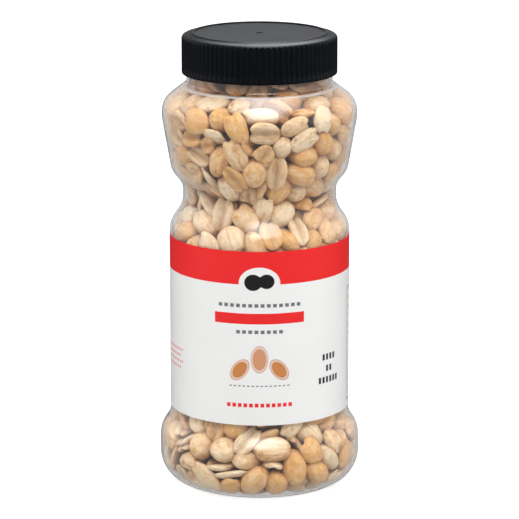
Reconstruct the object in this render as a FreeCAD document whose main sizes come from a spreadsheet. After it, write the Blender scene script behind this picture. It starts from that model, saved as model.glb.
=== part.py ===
import FreeCAD, Part

import math
import os
import random

import Sketcher
from FreeCAD import Placement, Rotation, Vector

# A jar of roasted peanuts: a blown clear jar with a waist, a ribbed screw cap,
# a wrap-round label on the straight panel and the heap of nuts that fills it.
# Millimetres, +Z up, the origin on the axis where the jar stands.

SIZES = {
    # Jar: radii from the axis
    "PushUpRadius": 12.0,
    "FootRadius": 27.0,
    "HeelRadius": 42.9,
    "PanelRadius": 38.3,
    "WaistRadius": 32.7,
    "FlareRadius": 37.6,
    "ShoulderRadius": 41.5,
    "NeckRadius": 31.0,
    # Jar: heights of its stretches, from the foot up
    "PushUpHeight": 3.5,
    "HeelHeight": 23.3,
    "HeelSlopeHeight": 6.3,
    "PanelHeight": 84.4,
    "WaistSlopeHeight": 7.6,
    "WaistHeight": 9.3,
    "FlareHeight": 6.0,
    "TaperHeight": 22.5,
    "ShoulderHeight": 7.0,
    "ShoulderSlopeHeight": 8.0,
    "NeckHeight": 19.0,
    "NeckSeamHeight": 2.0,
    "JarWall": 0.7,
    # Jar: roundings of its corners
    "PushUpRounding": 8.0,
    "FootRounding": 5.0,
    "HeelRounding": 12.5,
    "HeelTopRounding": 10.5,
    "PanelFootRounding": 10.5,
    "PanelTopRounding": 9.0,
    "WaistFootRounding": 13.0,
    "WaistTopRounding": 8.0,
    "FlareRounding": 8.0,
    "TaperRounding": 20.0,
    "ShoulderRounding": 9.0,
    "NeckRounding": 1.0,
    # Cap
    "CapRadius": 33.0,
    "CapHeight": 17.4,
    "CapTopThickness": 1.6,
    "CapThreadRoom": 0.3,
    "CapShoulderHeight": 1.3,
    "RidgeRadius": 28.4,
    "RidgeWidth": 0.8,
    "RidgeHeight": 0.6,
    "RidgeSlopeWidth": 0.8,
    "TopRecess": 0.6,
    "GateRadius": 1.5,
    "GateDepth": 0.25,
    "CapShoulderRounding": 1.6,
    "RidgeRounding": 0.35,
    "RidgeFootRounding": 0.8,
    "CapFootRounding": 0.5,
    "BandHeight": 2.4,
    "RibCount": 86,
    "RibDepth": 0.5,
    "RibGrooveRadius": 1.0,
    # Label
    "LabelThickness": 0.2,
    "LabelGap": 0.02,
    "LabelFootMargin": 0.8,
    "LabelTopMargin": 2.0,
    # Heap of nuts
    "NutLength": 14.0,
    "NutWidth": 9.6,
    "NutRelief": 2.6,
    "NutCover": 1.15,
    "NutScatter": 2.4,
    "WallRoom": 0.4,
    "Headspace": 13.0,
    "HeapColumns": 78,
    "RowHeight": 3.9,
    "CrownRings": 6,
    "FloorRings": 3,
}

# The jar's outline from the foot up: the radius at each corner, the stretch
# that rises to it from the corner before, and the rounding of the corner.
JAR_OUTLINE = (
    ("FootRadius", None, "FootRounding"),
    ("HeelRadius", None, "HeelRounding"),
    ("HeelRadius", "HeelHeight", "HeelTopRounding"),
    ("PanelRadius", "HeelSlopeHeight", "PanelFootRounding"),
    ("PanelRadius", "PanelHeight", "PanelTopRounding"),
    ("WaistRadius", "WaistSlopeHeight", "WaistFootRounding"),
    ("WaistRadius", "WaistHeight", "WaistTopRounding"),
    ("FlareRadius", "FlareHeight", "FlareRounding"),
    ("ShoulderRadius", "TaperHeight", "TaperRounding"),
    ("ShoulderRadius", "ShoulderHeight", "ShoulderRounding"),
    ("NeckRadius", "ShoulderSlopeHeight", "NeckRounding"),
    ("NeckRadius", "NeckHeight", None),
)

STRETCHES = [rise for _, rise, _ in JAR_OUTLINE if rise]
GOLDEN_TURN = math.pi * (3 - math.sqrt(5))
SAME_PLACE = 1e-4
NODES = ("jar", "neck", "cap", "label", "peanuts")

doc = FreeCAD.newDocument("PeanutJar")


# ---- Sizes ----------------------------------------------------------------


def make_sheet():
    sheet = doc.addObject("Spreadsheet::Sheet", "Sizes")
    for row, (name, value) in enumerate(SIZES.items(), start=1):
        sheet.set(f"A{row}", name)
        sheet.set(f"B{row}", str(value))
        sheet.setAlias(f"B{row}", name)
    doc.recompute()
    return sheet


sizes = make_sheet()


def cell(name):
    return f"Sizes.{name}"


def evaluate(expression):
    """The value of a sum or difference of cells."""
    return float(sizes.evalExpression(expression))


def height_at(stretch):
    """The expression for how high the named stretch of the jar ends."""
    below = STRETCHES[: STRETCHES.index(stretch) + 1]
    return " + ".join(cell(name) for name in below)


SEAM = f"{height_at('ShoulderSlopeHeight')} + {cell('NeckSeamHeight')}"
MOUTH = height_at("NeckHeight")


# ---- Helpers for bodies ---------------------------------------------------


def make_body(name):
    body = doc.addObject("PartDesign::Body", name)
    body.Label = name
    return body


def plane(body, role):
    return next(item for item in body.Origin.OriginFeatures if item.Role == role)


def add_sketch(body, name, role):
    sketch = body.newObject("Sketcher::SketchObject", name)
    sketch.AttachmentSupport = [(plane(body, role), "")]
    sketch.MapMode = "FlatFace"
    return sketch


def half_section(body, name, corners):
    """A closed outline beside the axis; corners are (radius, height) expressions."""
    sketch = add_sketch(body, name, "XZ_Plane")
    places = [(evaluate(radius), evaluate(height)) for radius, height in corners]
    for start, end in zip(places, places[1:] + places[:1]):
        sketch.addGeometry(Part.LineSegment(Vector(*start, 0), Vector(*end, 0)), False)
    for index in range(len(places)):
        following = (index + 1) % len(places)
        sketch.addConstraint(Sketcher.Constraint("Coincident", index, 2, following, 1))
    for index, ((radius, height), place) in enumerate(zip(corners, places)):
        for kind, expression, value, axis in (
            ("DistanceX", radius, place[0], -2),
            ("DistanceY", height, place[1], -1),
        ):
            if expression == "0":
                sketch.addConstraint(Sketcher.Constraint("PointOnObject", index, 1, axis))
                continue
            bound = sketch.addConstraint(Sketcher.Constraint(kind, -1, 1, index, 1, value))
            sketch.setExpression(f"Constraints[{bound}]", expression)
    return sketch


def revolve(body, name, sketch):
    turned = body.newObject("PartDesign::Revolution", name)
    turned.Profile = sketch
    turned.ReferenceAxis = (sketch, ["V_Axis"])
    turned.Angle = 360
    doc.recompute()
    return turned


def ring_edges(shape, radius, height):
    """The names of the round edges of this radius at this height."""
    found = []
    for number, edge in enumerate(shape.Edges, start=1):
        curve = edge.Curve
        if not isinstance(curve, Part.Circle):
            continue
        apart = max(abs(curve.Radius - radius), abs(curve.Center.z - height))
        if apart < SAME_PLACE:
            found.append(f"Edge{number}")
    return found


def round_ring(body, name, base, radius, height, rounding):
    """Rounds the circular edge at this radius and height."""
    edges = ring_edges(base.Shape, radius, height)
    fillet = body.newObject("PartDesign::Fillet", name)
    fillet.Base = (base, edges)
    fillet.setExpression("Radius", cell(rounding))
    doc.recompute()
    return fillet


# ---- Jar ------------------------------------------------------------------


def jar_corners():
    """(radius, height) expressions of the outer half section, up to the neck's seam."""
    corners = [("0", cell("PushUpHeight")), (cell("PushUpRadius"), cell("PushUpHeight"))]
    for radius, stretch, _ in JAR_OUTLINE[:-1]:
        corners.append((cell(radius), height_at(stretch) if stretch else "0"))
    corners += [(cell("NeckRadius"), SEAM), ("0", SEAM)]
    return corners


def make_jar():
    body = make_body("jar")
    corners = jar_corners()
    solid = revolve(body, "JarForm", half_section(body, "JarOutline", corners))
    roundings = ["PushUpRounding"] + [rounding for _, _, rounding in JAR_OUTLINE]
    for (radius, height), rounding in zip(corners[1:], roundings):
        if rounding:
            place = (evaluate(radius), evaluate(height))
            solid = round_ring(body, f"Jar{rounding}", solid, *place, rounding)
    hollow_out(body, solid)
    return body


def hollow_out(body, solid):
    """Leaves an even wall round the form, open at its top."""
    faces = solid.Shape.Faces
    highest = max(range(len(faces)), key=lambda number: faces[number].CenterOfMass.z)
    wall = body.newObject("PartDesign::Thickness", "JarWall")
    wall.Base = (solid, [f"Face{highest + 1}"])
    wall.Reversed = True
    wall.setExpression("Value", cell("JarWall"))
    doc.recompute()


def make_neck():
    """The moulded ring that stands on the blown jar, from the seam to the mouth."""
    body = make_body("neck")
    outer = cell("NeckRadius")
    inner = f"{outer} - {cell('JarWall')}"
    corners = [(inner, SEAM), (outer, SEAM), (outer, MOUTH), (inner, MOUTH)]
    revolve(body, "NeckRing", half_section(body, "NeckOutline", corners))
    return body


# ---- Cap ------------------------------------------------------------------


def cap_corners():
    """(radius, height) expressions of the cap, from its open end up."""
    top = cell("CapHeight")
    face = f"{top} - {cell('TopRecess')}"
    gate = f"{face} - {cell('GateDepth')}"
    seat = f"{face} - {cell('CapTopThickness')}"
    shoulder = f"{top} - {cell('CapShoulderHeight')}"
    bore = f"{cell('NeckRadius')} + {cell('CapThreadRoom')}"
    return {
        "seat middle": ("0", seat),
        "seat rim": (bore, seat),
        "bore mouth": (bore, "0"),
        "foot": (cell("CapRadius"), "0"),
        "shoulder": (cell("CapRadius"), shoulder),
        "ridge foot": (
            f"{cell('RidgeRadius')} + {cell('RidgeSlopeWidth')}",
            f"{top} - {cell('RidgeHeight')}",
        ),
        "ridge outside": (cell("RidgeRadius"), top),
        "ridge inside": (f"{cell('RidgeRadius')} - {cell('RidgeWidth')}", top),
        "recess": (f"{cell('RidgeRadius')} - {cell('RidgeWidth')}", face),
        "gate rim": (cell("GateRadius"), face),
        "gate edge": (cell("GateRadius"), gate),
        "gate middle": ("0", gate),
    }


def make_cap():
    body = make_body("cap")
    corners = cap_corners()
    solid = revolve(body, "CapForm", half_section(body, "CapOutline", list(corners.values())))
    for corner, rounding in (
        ("foot", "CapFootRounding"),
        ("shoulder", "CapShoulderRounding"),
        ("ridge foot", "RidgeFootRounding"),
        ("ridge outside", "RidgeRounding"),
        ("ridge inside", "RidgeRounding"),
    ):
        place = [evaluate(expression) for expression in corners[corner]]
        name = "Cap" + corner.title().replace(" ", "")
        solid = round_ring(body, name, solid, *place, rounding)
    cut_ribs(body)
    _, seat = corners["seat middle"]
    body.setExpression("Placement.Base.z", f"{MOUTH} - ({seat})")
    doc.recompute()


def cut_ribs(body):
    """Scoops upright grooves from the band to the shoulder, which leaves the ribs."""
    sketch = add_sketch(body, "RibGrooveOutline", "XY_Plane")
    sketch.setExpression("AttachmentOffset.Base.z", cell("BandHeight"))
    middle = f"{cell('CapRadius')} + {cell('RibGrooveRadius')} - {cell('RibDepth')}"
    place = Vector(evaluate(middle), 0, 0)
    sketch.addGeometry(Part.Circle(place, Vector(0, 0, 1), sizes.RibGrooveRadius), False)
    sketch.addConstraint(Sketcher.Constraint("PointOnObject", 0, 3, -1))
    for constraint, expression in (
        (Sketcher.Constraint("DistanceX", -1, 1, 0, 3, place.x), middle),
        (Sketcher.Constraint("Radius", 0, sizes.RibGrooveRadius), cell("RibGrooveRadius")),
    ):
        bound = sketch.addConstraint(constraint)
        sketch.setExpression(f"Constraints[{bound}]", expression)
    groove = body.newObject("PartDesign::Pocket", "RibGroove")
    groove.Profile = sketch
    groove.Type = "Length"
    groove.setExpression("Length", cell("CapHeight"))
    groove.Reversed = True
    doc.recompute()
    ribs = body.newObject("PartDesign::PolarPattern", "Ribs")
    ribs.Originals = [groove]
    ribs.Axis = (sketch, ["N_Axis"])
    ribs.Angle = 360
    ribs.setExpression("Occurrences", cell("RibCount"))
    body.Tip = ribs
    doc.recompute()


# ---- Label ----------------------------------------------------------------


def rounded_off(rounding, radius, slope_height):
    """The expression for how much of the straight panel a rounded corner takes."""
    turn = f"atan(({cell(radius)} - {cell('PanelRadius')}) / {cell(slope_height)})"
    return f"{cell(rounding)} * tan(abs({turn}) / 2)"


def make_label():
    """A thin sleeve round the straight panel, clear of the panel's rounded corners."""
    body = make_body("label")
    inner = f"{cell('PanelRadius')} + {cell('LabelGap')}"
    outer = f"{inner} + {cell('LabelThickness')}"
    foot = rounded_off("PanelFootRounding", "HeelRadius", "HeelSlopeHeight")
    top = rounded_off("PanelTopRounding", "WaistRadius", "WaistSlopeHeight")
    low = f"{height_at('HeelSlopeHeight')} + {foot} + {cell('LabelFootMargin')}"
    high = f"{height_at('PanelHeight')} - {top} - {cell('LabelTopMargin')}"
    corners = [(inner, low), (outer, low), (outer, high), (inner, high)]
    revolve(body, "LabelSleeve", half_section(body, "LabelOutline", corners))


# ---- Heap of nuts ---------------------------------------------------------


def inner_radius(jar, height):
    """How far from the axis the inside of the jar's side is at this height."""
    reach = 2 * max(sizes.HeelRadius, sizes.ShoulderRadius)
    ray = Part.makeLine(Vector(0, 0, height), Vector(reach, 0, height))
    side = max(ray.common(jar).Edges, key=lambda stretch: stretch.CenterOfMass.x)
    return side.BoundBox.XMin


def room_at(jar, height, foot):
    """How far out the heap may reach, clear of the corners just above and below."""
    near = (max(foot, height - sizes.JarWall), height, height + sizes.JarWall)
    return min(inner_radius(jar, level) for level in near) - sizes.WallRoom


def floor_height(jar, radius):
    """How high the inside of the jar's base is at this radius."""
    ray = Part.makeLine(Vector(radius, 0, 0), Vector(radius, 0, sizes.HeelHeight))
    return ray.common(jar).BoundBox.ZMax


def heap_floor(jar, radius):
    """How high the heap's underside is at this radius, clear of the base."""
    return floor_height(jar, radius) + 2 * sizes.WallRoom


def dome(across, along, turn):
    """The height, 0 to 1, of a rounded nut at this offset from its middle."""
    length = across * math.cos(turn) + along * math.sin(turn)
    width = along * math.cos(turn) - across * math.sin(turn)
    reach = (2 * length / sizes.NutLength) ** 2 + (2 * width / sizes.NutWidth) ** 2
    return math.sqrt(max(0.0, 1.0 - reach))


def nut_count(area):
    """How many nuts cover this much of the heap's skin."""
    return round(sizes.NutCover * area / (sizes.NutLength * sizes.NutWidth))


def scatter(chance):
    """A chance step that keeps the nuts out of ranks."""
    return chance.uniform(-sizes.NutScatter, sizes.NutScatter)


def wall_nuts(low, high, radius):
    """(angle, height, turn) of the nuts that lie against the wall between two heights."""
    chance = random.Random(1)
    count = nut_count(2 * math.pi * radius * (high - low))
    nuts = []
    for number in range(count):
        angle = number * GOLDEN_TURN + scatter(chance) / radius
        height = low + (high - low) * (number + 0.5) / count + scatter(chance)
        nuts.append((angle % (2 * math.pi), height, chance.uniform(0, math.pi)))
    return nuts


def crown_nuts(radius):
    """(x, y, turn) of the nuts on top of the heap."""
    chance = random.Random(2)
    count = nut_count(math.pi * radius**2)
    nuts = []
    for number in range(count):
        out = radius * math.sqrt((number + 0.5) / count)
        angle = number * GOLDEN_TURN
        x = out * math.cos(angle) + scatter(chance)
        y = out * math.sin(angle) + scatter(chance)
        nuts.append((x, y, chance.uniform(0, math.pi)))
    return nuts


def wall_relief(nuts, angle, height, radius):
    """How deep the heap's side lies behind the nuts that touch the wall."""
    highest = 0.0
    for nut_angle, nut_height, turn in nuts:
        along = height - nut_height
        if abs(along) > sizes.NutLength / 2:
            continue
        across = (angle - nut_angle + math.pi) % (2 * math.pi) - math.pi
        highest = max(highest, dome(across * radius, along, turn))
    return sizes.NutRelief * (1 - highest)


def crown_relief(nuts, x, y):
    """How deep the heap's top lies below its highest nuts."""
    highest = max(dome(x - nut_x, y - nut_y, turn) for nut_x, nut_y, turn in nuts)
    return sizes.NutRelief * (1 - highest)


def row_heights(foot, crown):
    """Heights of the heap's rows: even steps over each stretch of the jar."""
    heights = [foot]
    corner = 0.0
    for stretch in STRETCHES:
        end = min(corner + getattr(sizes, stretch), crown)
        count = max(1, round((end - corner) / sizes.RowHeight))
        steps = [corner + (end - corner) * step / count for step in range(1, count + 1)]
        heights += [height for height in steps if height > heights[-1]]
        corner = end
    return heights


def ring(radius_at, height_at):
    """One ring of the heap's skin, a point to each column."""
    columns = round(sizes.HeapColumns)
    points = []
    for column in range(columns):
        angle = 2 * math.pi * column / columns
        radius = radius_at(angle)
        x = radius * math.cos(angle)
        y = radius * math.sin(angle)
        points.append(Vector(x, y, height_at(x, y)))
    return points


def floor_rings(jar, radius):
    """Rings that lie on the jar's base, out to this radius."""
    count = round(sizes.FloorRings)
    rings = []
    for step in range(1, count + 1):
        out = radius * step / (count + 1)
        height = heap_floor(jar, out)
        rings.append(ring(lambda angle: out, lambda x, y: height))
    return rings


def side_rings(jar, foot, crown):
    """Rings that follow the nuts against the wall."""
    nuts = wall_nuts(foot, crown, sizes.PanelRadius)
    rings = []
    for height in row_heights(foot, crown):
        wall = room_at(jar, height, foot)
        side = lambda angle: wall - wall_relief(nuts, angle, height, wall)
        rings.append(ring(side, lambda x, y: height))
    return rings


def crown_rings(radius, crown):
    """Rings over the nuts on top, from this radius in to the middle."""
    nuts = crown_nuts(radius)
    count = round(sizes.CrownRings)
    rings = []
    for step in range(count):
        inward = radius * (1 - step / count)
        top = lambda x, y: crown - crown_relief(nuts, x, y)
        rings.append(ring(lambda angle: inward, top))
    return rings, Vector(0, 0, crown - crown_relief(nuts, 0, 0))


def skin_triangles(rings, bottom, top):
    """Closes the rings with strips between them and a fan at either end."""
    columns = len(rings[0])
    triangles = []
    for column in range(columns):
        after = (column + 1) % columns
        triangles.append((bottom, rings[0][after], rings[0][column]))
        for lower, upper in zip(rings, rings[1:]):
            triangles.append((lower[column], lower[after], upper[after]))
            triangles.append((lower[column], upper[after], upper[column]))
        triangles.append((rings[-1][column], rings[-1][after], top))
    return triangles


def make_peanuts(jar):
    """One solid out to the uneven outline of the nuts, clear of the jar all round."""
    foot = heap_floor(jar, sizes.FootRadius + sizes.WallRoom)
    crown = evaluate(MOUTH) - sizes.Headspace
    rings = floor_rings(jar, room_at(jar, foot, foot) - sizes.NutRelief)
    rings += side_rings(jar, foot, crown - sizes.NutRelief)
    rim = room_at(jar, crown, foot) - sizes.NutRelief - sizes.WallRoom
    upper, top = crown_rings(rim, crown)
    bottom = Vector(0, 0, heap_floor(jar, 0.0))
    faces = []
    for corners in skin_triangles(rings + upper, bottom, top):
        faces.append(Part.Face(Part.makePolygon([*corners, corners[0]])))
    shell = Part.Shell(faces)
    shell.sewShape()
    heap = doc.addObject("Part::Feature", "peanuts")
    heap.Label = "peanuts"
    heap.Shape = Part.Solid(shell)
    heap.Placement = Placement(Vector(0, 0, 0), Rotation())


# ---- Build, check and write -----------------------------------------------


def check_document():
    for item in doc.Objects:
        if {"Invalid", "Error"} & set(item.State):
            raise RuntimeError(f"{item.Label} failed: {item.State}")
    for name in NODES:
        shape = node_shape(name)
        if shape.isNull() or not shape.isValid() or len(shape.Solids) != 1:
            raise RuntimeError(f"{name} isn't one valid solid")
        print(f"{name}: {shape.Volume / 1000:.2f} cm3, {len(shape.Faces)} faces")


def node_shape(name):
    return doc.getObjectsByLabel(name)[0].Shape


def write_parts():
    os.makedirs("parts", exist_ok=True)
    for name in NODES:
        node_shape(name).exportStep(f"parts/{name}.step")


def main():
    jar = make_jar()
    neck = make_neck()
    make_cap()
    make_label()
    make_peanuts(jar.Shape.fuse(neck.Shape))
    doc.recompute()
    check_document()
    write_parts()


main()
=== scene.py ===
import math

import bmesh
import bpy
import numpy as np
from bpy.props import FloatProperty, FloatVectorProperty, IntProperty, PointerProperty
from mathutils import Matrix, Vector


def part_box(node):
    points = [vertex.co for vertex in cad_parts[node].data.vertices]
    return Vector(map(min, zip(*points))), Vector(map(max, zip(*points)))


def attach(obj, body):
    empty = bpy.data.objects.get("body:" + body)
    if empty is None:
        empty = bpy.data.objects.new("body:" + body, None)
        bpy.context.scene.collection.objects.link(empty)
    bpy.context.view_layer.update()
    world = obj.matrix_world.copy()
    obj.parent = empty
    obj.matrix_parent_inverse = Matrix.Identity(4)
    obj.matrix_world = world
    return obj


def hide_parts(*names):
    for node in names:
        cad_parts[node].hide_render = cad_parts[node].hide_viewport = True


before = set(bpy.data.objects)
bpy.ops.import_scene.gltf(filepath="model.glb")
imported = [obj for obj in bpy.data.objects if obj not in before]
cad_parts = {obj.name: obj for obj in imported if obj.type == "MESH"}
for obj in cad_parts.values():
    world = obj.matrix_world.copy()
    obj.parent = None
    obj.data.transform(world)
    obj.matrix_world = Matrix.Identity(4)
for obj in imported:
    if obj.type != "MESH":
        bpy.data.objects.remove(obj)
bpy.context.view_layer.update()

bl_info = {
    "name": "Jar of roasted peanuts",
    "version": (1, 0, 0),
    "blender": (4, 5, 0),
    "location": "View3D > Sidebar > Peanut jar",
    "description": "Dresses the packed jar: clear wall, ribbed cap, printed label and loose nuts",
    "category": "Object",
}

MM = 0.001
FULL_TURN = 2 * math.pi
# Points nearer than this are one, and runs that bend less than this are straight
WELD = 2e-6
STRAIGHT = math.radians(0.3)
# Edges sharper than these stay crisp
JAR_CREASE = math.radians(50)
CAP_CREASE = math.radians(40)
# How finely the turned pieces and the skirt are divided
ROUND_STEPS = 144
CORE_STEPS = 64
STEPS_PER_RIB = 8
SKIRT_CUTS = 14
NECK_LOW, NECK_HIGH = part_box("neck")
CAP_LOW, CAP_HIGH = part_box("cap")
_, LABEL_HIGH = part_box("label")
_, HEAP_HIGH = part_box("peanuts")


# ---- Properties -----------------------------------------------------------


def colour(name, description, default):
    """A colour that the user may change."""
    return FloatVectorProperty(
        name=name, description=description, default=default, subtype="COLOR", size=3, min=0, max=1
    )


def length(name, description, millimetres):
    """A length in metres, given here in millimetres."""
    return FloatProperty(
        name=name, description=description, default=millimetres * MM, unit="LENGTH", precision=5
    )


def share(name, description, default):
    """A number from 0 to 1."""
    return FloatProperty(
        name=name, description=description, default=default, min=0, max=1, subtype="FACTOR"
    )


def number(name, description, default):
    """A strength, a power or another plain number."""
    return FloatProperty(name=name, description=description, default=default)


def tally(name, description, default):
    """A whole number."""
    return IntProperty(name=name, description=description, default=default, min=0)


class JarProperties(bpy.types.PropertyGroup):
    tint: colour("Tint", "Colour of the clear plastic", (0.96, 0.972, 0.975))
    gloss: share("Roughness", "Roughness of the blown wall", 0.03)
    haze: share("Haze", "Milky film on the ring and where the wall is seen edge on", 0.42)
    ring: length("Ring", "Height of the thick ring at the neck's foot", 172.7)
    haze_colour: colour("Haze colour", "Colour of the milky film", (0.74, 0.71, 0.69))
    refraction: number("Refraction", "Index of refraction of the plastic", 1.57)


class CapProperties(bpy.types.PropertyGroup):
    black: colour("Black", "Colour of the moulded cap", (0.0032, 0.0042, 0.0062))
    gloss: share("Roughness", "Roughness of the satin skin", 0.36)
    shine: share("Specular level", "Strength of the cap's reflections", 0.20)
    ridge: length("Ridge", "Radius of the ridge round the top", 29.2)
    ribs: tally("Ribs", "Grip ribs round the skirt", 86)
    rib_depth: length("Rib depth", "How deep the grooves between ribs are", 0.5)
    groove: length("Groove radius", "Radius of the round groove between ribs", 1.0)
    band: length("Band height", "Height of the plain band under the ribs", 2.4)


class LabelProperties(bpy.types.PropertyGroup):
    field: colour("Field", "Colour of the unprinted film", (0.885, 0.885, 0.875))
    red: colour("Red", "Colour of the band, the bar and the red rows", (0.88, 0.019, 0.020))
    grey: colour("Grey", "Colour of the thin rows", (0.17, 0.17, 0.175))
    charcoal: colour("Charcoal", "Colour of the badge and the side rows", (0.016, 0.015, 0.016))
    tan: colour("Tan", "Colour of the ovals", (0.62, 0.24, 0.07))
    band: length("Band", "Height of the red band", 14.1)
    gloss: share("Roughness", "Roughness of the film", 0.34)


class NutProperties(bpy.types.PropertyGroup):
    seed: tally("Seed", "Picks the lie of the nuts", 4)
    wholes: tally("Wholes", "Whole kernels in the jar", 420)
    halves: tally("Halves", "Split halves in the jar", 560)
    bits: tally("Bits", "Broken bits in the jar", 90)
    steps: tally("Steps", "Steps of the settling", 420)
    whole_length: length("Whole length", "Length of a whole kernel", 14.2)
    whole_width: length("Whole width", "Width of a whole kernel", 9.9)
    half_length: length("Half length", "Length of a split half", 13.2)
    half_width: length("Half width", "Width of a split half", 8.9)
    half_height: length("Half height", "Thickness of a split half", 5.4)
    wall_room: length("Wall room", "Room kept between nuts and wall", 0.25)
    shown_depth: length("Shown depth", "How deep loose nuts reach before the core", 15.0)
    core_depth: length("Core depth", "How deep the core lies behind the wall", 13.0)
    gloss: share("Roughness", "Roughness of the dry flesh", 0.44)
    cream: colour("Cream", "Palest nuts", (1.0, 0.77, 0.51))
    golden: colour("Golden", "Evenly roasted nuts", (0.86, 0.45, 0.155))
    toasted: colour("Toasted", "Seams, edges and dark spots", (0.48, 0.19, 0.05))
    # Crevice is painted shade: nuts lying back from the wall and up the neck under the cap are
    # darkened towards it
    crevice_shade: colour("Crevice", "Nuts further in, between the outer ones", (0.38, 0.145, 0.038))
    # Core is painted shade: its dark colour stands for nuts deep in the heap lying in shade
    core: colour("Core", "Nuts deep in the heap", (0.24, 0.09, 0.028))


class StageProperties(bpy.types.PropertyGroup):
    elevation: FloatProperty(
        name="Elevation", description="How far above level the camera looks from",
        default=math.radians(13.4), subtype="ANGLE",
    )
    distance: length("Distance", "Camera to the middle of the jar", 1300)
    aim: length("Aim height", "Height of the point the camera looks at", 96.7)
    lens: number("Lens", "Focal length in millimetres", 210.0)
    sky: number("Sky", "Strength of the even light", 0.11)
    front: number("Front", "Power of the front lamp in watts", 11.8)
    side: number("Sides", "Power of the side and back lamps in watts", 7.0)
    top: number("Top", "Power of the lamp overhead in watts", 17.5)
    softbox: number("Softbox", "Strength of the softbox mirrored in the gloss", 8.5)
    panels: number("Panels", "Strength of the side panels mirrored in the gloss", 0.9)


# ---- Node maths -----------------------------------------------------------


class Value:
    """A socket that adds Math nodes when it is used in a sum."""

    def __init__(self, tree, socket):
        self.tree = tree
        self.socket = socket

    def math(self, operation, *others, first=None):
        """A Math node on this value and others; first stands before it where it is given."""
        terms = [self if first is None else first, *others]
        return self.tree.add("ShaderNodeMath", {"operation": operation}, dict(enumerate(terms)))

    def __add__(self, other):
        return self.math("ADD", other)

    def __sub__(self, other):
        return self.math("SUBTRACT", other)

    def __mul__(self, other):
        return self.math("MULTIPLY", other)

    def __truediv__(self, other):
        return self.math("DIVIDE", other)

    def __pow__(self, other):
        return self.math("POWER", other)

    def __mod__(self, other):
        return self.math("FLOORED_MODULO", other)

    def __rsub__(self, other):
        return self.math("SUBTRACT", self, first=other)

    def __rtruediv__(self, other):
        return self.math("DIVIDE", self, first=other)

    def __neg__(self):
        return self.math("MULTIPLY", -1.0)

    def __abs__(self):
        return self.math("ABSOLUTE")

    def least(self, other):
        return self.math("MINIMUM", other)

    def most(self, other):
        return self.math("MAXIMUM", other)

    def clamped(self):
        return self.most(0.0).least(1.0)

    def ramp(self, low, high):
        """0 below low, 1 above high, smooth between."""
        return self.tree.add(
            "ShaderNodeMapRange",
            {"interpolation_type": "SMOOTHSTEP"},
            {"Value": self, "From Min": low, "From Max": high},
        )

    __radd__ = __add__
    __rmul__ = __mul__


class Tree:
    """The nodes of one material or world."""

    def __init__(self, owner):
        owner.use_nodes = True
        self.nodes = owner.node_tree.nodes
        self.links = owner.node_tree.links
        self.nodes.clear()

    def node(self, kind, settings=None, inputs=None):
        """One node; its settings come first, then the values or links of its sockets."""
        made = self.nodes.new(kind)
        for name, setting in (settings or {}).items():
            setattr(made, name, setting)
        for name, entry in (inputs or {}).items():
            if isinstance(entry, Value):
                self.links.new(entry.socket, made.inputs[name])
            else:
                made.inputs[name].default_value = entry
        return made

    def add(self, kind, settings=None, inputs=None, output=0):
        """The same, as the value of one of the node's outputs."""
        return Value(self, self.node(kind, settings, inputs).outputs[output])

    def mix(self, factor, first, second):
        """A colour between two colours."""
        inputs = {0: factor, 6: opaque(first), 7: opaque(second)}
        return self.add("ShaderNodeMix", {"data_type": "RGBA"}, inputs, output=2)

    def place(self):
        """Object coordinates in metres."""
        return self.add("ShaderNodeTexCoord", output=3)

    def parts(self, vector):
        """The three numbers of a vector."""
        node = self.node("ShaderNodeSeparateXYZ", inputs={0: vector})
        return [Value(self, socket) for socket in node.outputs]

    def from_axis(self):
        """How far each point is from the jar's axis, in metres."""
        x, y, _ = self.parts(self.place())
        return (x * x + y * y) ** 0.5

    def attribute(self, name, output):
        """A value that the mesh carries at its points."""
        return self.add("ShaderNodeAttribute", {"attribute_name": name}, output=output)

    def vector(self, operation, inputs):
        """A Vector Math node."""
        return self.add("ShaderNodeVectorMath", {"operation": operation}, inputs)

    def noise(self, vector, scale, detail=2.0, roughness=0.5):
        """Soft random patches from 0 to 1."""
        inputs = {"Vector": vector, "Scale": scale, "Detail": detail, "Roughness": roughness}
        return self.add("ShaderNodeTexNoise", None, inputs)

    def bump(self, height, strength, distance, under=None):
        """Relief of this height, laid over another relief where one is given."""
        inputs = {"Height": height, "Strength": strength, "Distance": distance}
        if under is not None:
            inputs["Normal"] = under
        return self.add("ShaderNodeBump", None, inputs)

    def rays(self, *kinds):
        """1 for a ray of each of these kinds, 0 for others."""
        node = self.node("ShaderNodeLightPath")
        return [Value(self, node.outputs[f"Is {kind} Ray"]) for kind in kinds]

    def principled(self, inputs):
        """A Principled shader with these sockets set."""
        return self.add("ShaderNodeBsdfPrincipled", None, inputs)

    def either(self, factor, first, second):
        """The first shader where the factor is 0, and the second where it is 1."""
        return self.add("ShaderNodeMixShader", None, {0: factor, 1: first, 2: second})

    def surface(self, shader, target="ShaderNodeOutputMaterial"):
        """Puts the shader on the surface, or on the world."""
        self.node(target, None, {"Surface": shader})


def opaque(colour_or_value):
    """A colour with its alpha; a value stays as it is."""
    if isinstance(colour_or_value, Value):
        return colour_or_value
    return (*colour_or_value, 1.0)


def toned(ink, factor):
    """The same colour, darker or lighter by a factor."""
    return [min(1.0, factor * part) for part in ink]


def new_material(name):
    """A material and its empty tree."""
    made = bpy.data.materials.new(name)
    return made, Tree(made)


# ---- Mesh helpers ---------------------------------------------------------


def finish_piece(name, mesh, material, replaced):
    """Links the mesh as a piece that rides on the jar and stands for a CAD node."""
    made = mesh
    if isinstance(mesh, bmesh.types.BMesh):
        made = bpy.data.meshes.new(name)
        mesh.to_mesh(made)
        mesh.free()
    made.materials.clear()
    made.materials.append(material)
    piece = bpy.data.objects.new(name, made)
    bpy.context.scene.collection.objects.link(piece)
    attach(piece, "root")
    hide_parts(*replaced)
    return piece


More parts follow.
